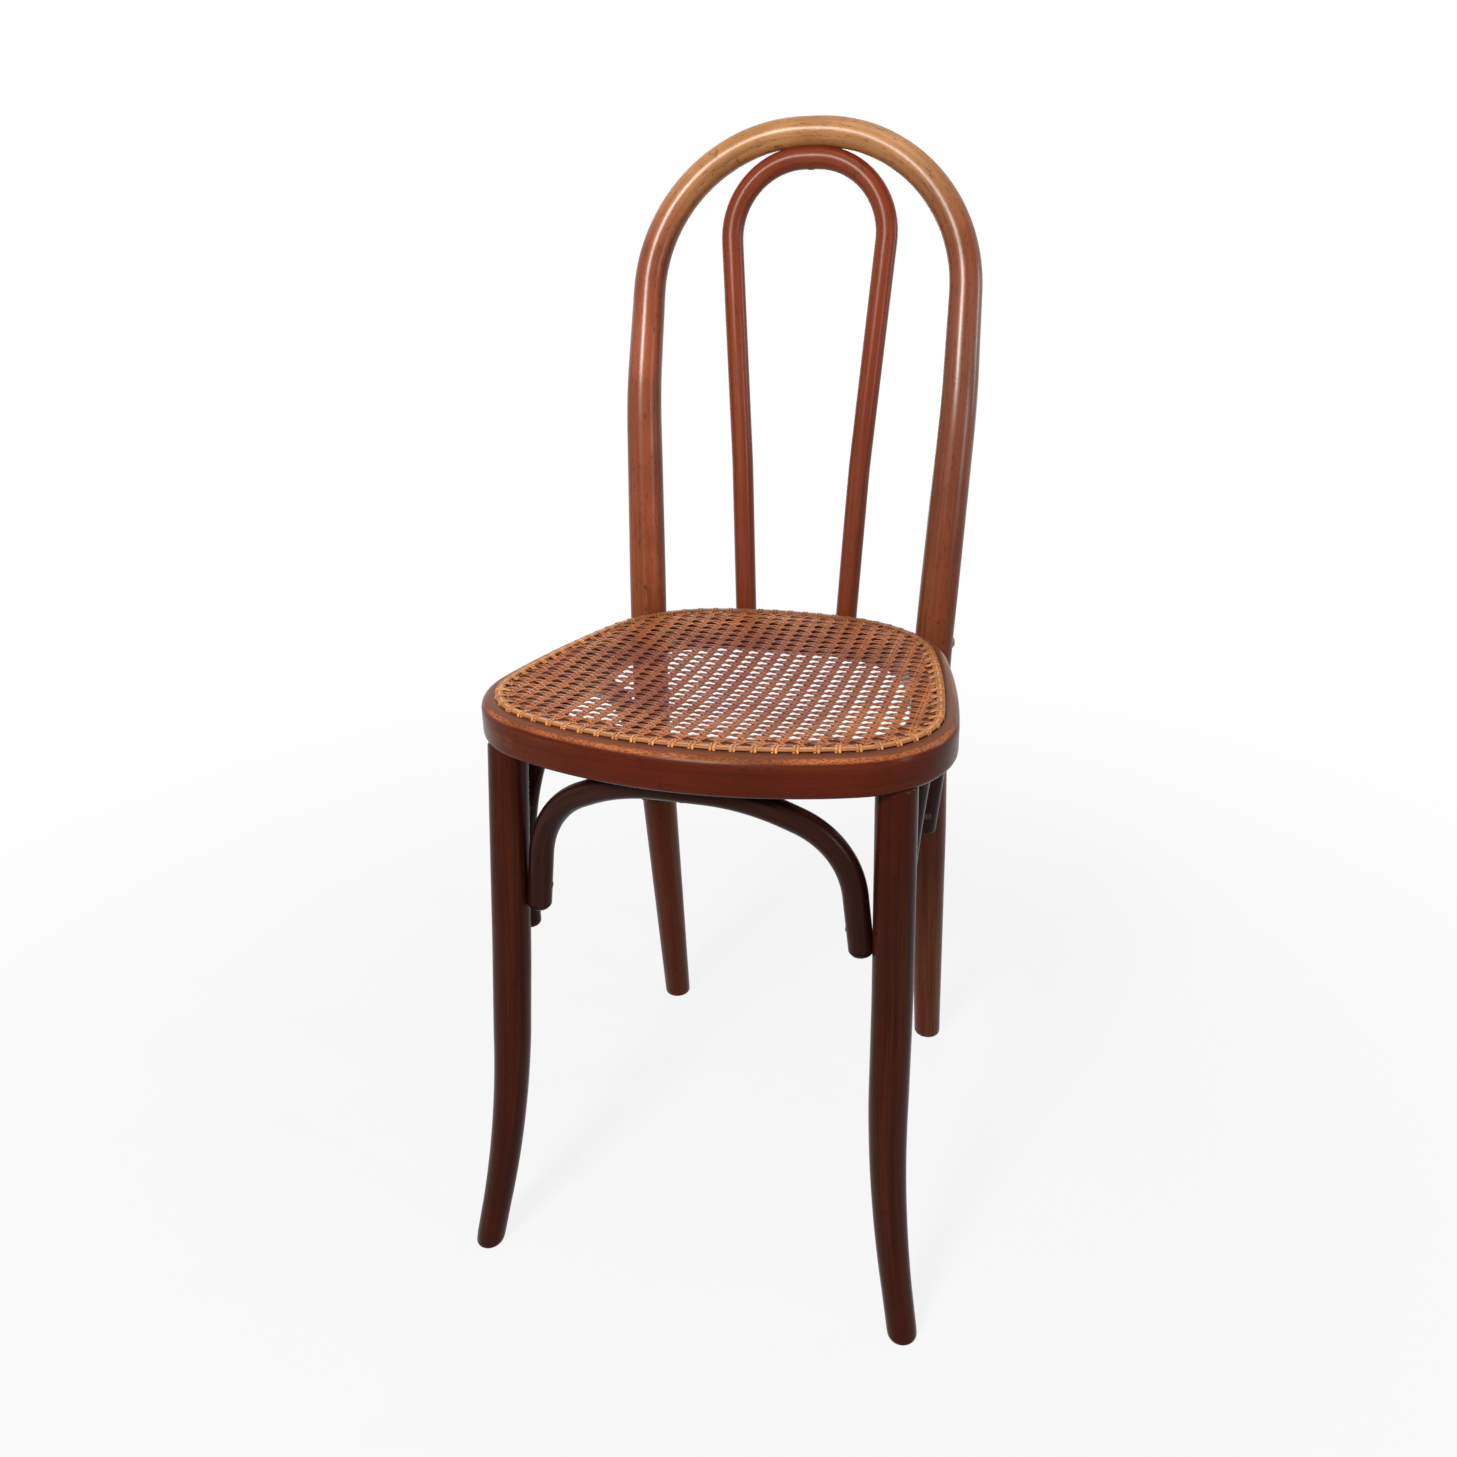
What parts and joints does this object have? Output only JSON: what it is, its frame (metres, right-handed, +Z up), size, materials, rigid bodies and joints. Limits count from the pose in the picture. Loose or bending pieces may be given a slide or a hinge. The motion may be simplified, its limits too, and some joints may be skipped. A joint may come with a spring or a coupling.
{
  "type": "bentwood bistro chair",
  "caption": "Armless bentwood dining chair with a hooped back, an inner loop, a hand-caned seat in a bent rim, splayed legs and arched braces under the seat",
  "frame": {"origin": "On the floor, at the middle of the chair's footprint", "axes": "+Z up, the chair faces -Y, +X is the right side as seen by someone facing the chair"},
  "size_m": [0.3694, 0.4319, 0.887],
  "materials": {
    "hoop_beech": "stained beech, semi-gloss varnish, worn lighter on the hoop",
    "loop_beech": "stained beech, semi-gloss varnish",
    "rim_beech": "stained beech, semi-gloss varnish, scuffed along the front edge",
    "leg_beech": "dark stained beech, semi-gloss varnish",
    "brace_beech": "dark stained beech, semi-gloss varnish",
    "cane": "split rattan cane, stained golden to reddish brown, slight sheen",
    "peg_wood": "plain split wood",
    "bolt_steel": "aged steel",
    "screw_steel": "aged steel"
  },
  "bodies": {
    "root": {"back_bolt_nuts": "bolt_steel", "back_bolt_washers": "bolt_steel", "back_bolts": "bolt_steel", "back_frame": "hoop_beech", "cane_binder": "cane", "cane_binder_loops": "cane", "cane_pegs": "peg_wood", "cane_web": "cane", "front_arch": "brace_beech", "front_arch_crown_screw": "screw_steel", "front_arch_foot_screws": "screw_steel", "front_leg_left": "leg_beech", "front_leg_right": "leg_beech", "inner_loop": "loop_beech", "leg_tenon_screws": "screw_steel", "loop_foot_screws": "screw_steel", "loop_top_screw": "screw_steel", "seat_ring": "rim_beech", "side_arch_crown_screws": "screw_steel", "side_arch_front_screws": "screw_steel", "side_arch_left": "brace_beech", "side_arch_rear_screws": "screw_steel", "side_arch_right": "brace_beech"}
  },
  "joints": []
}
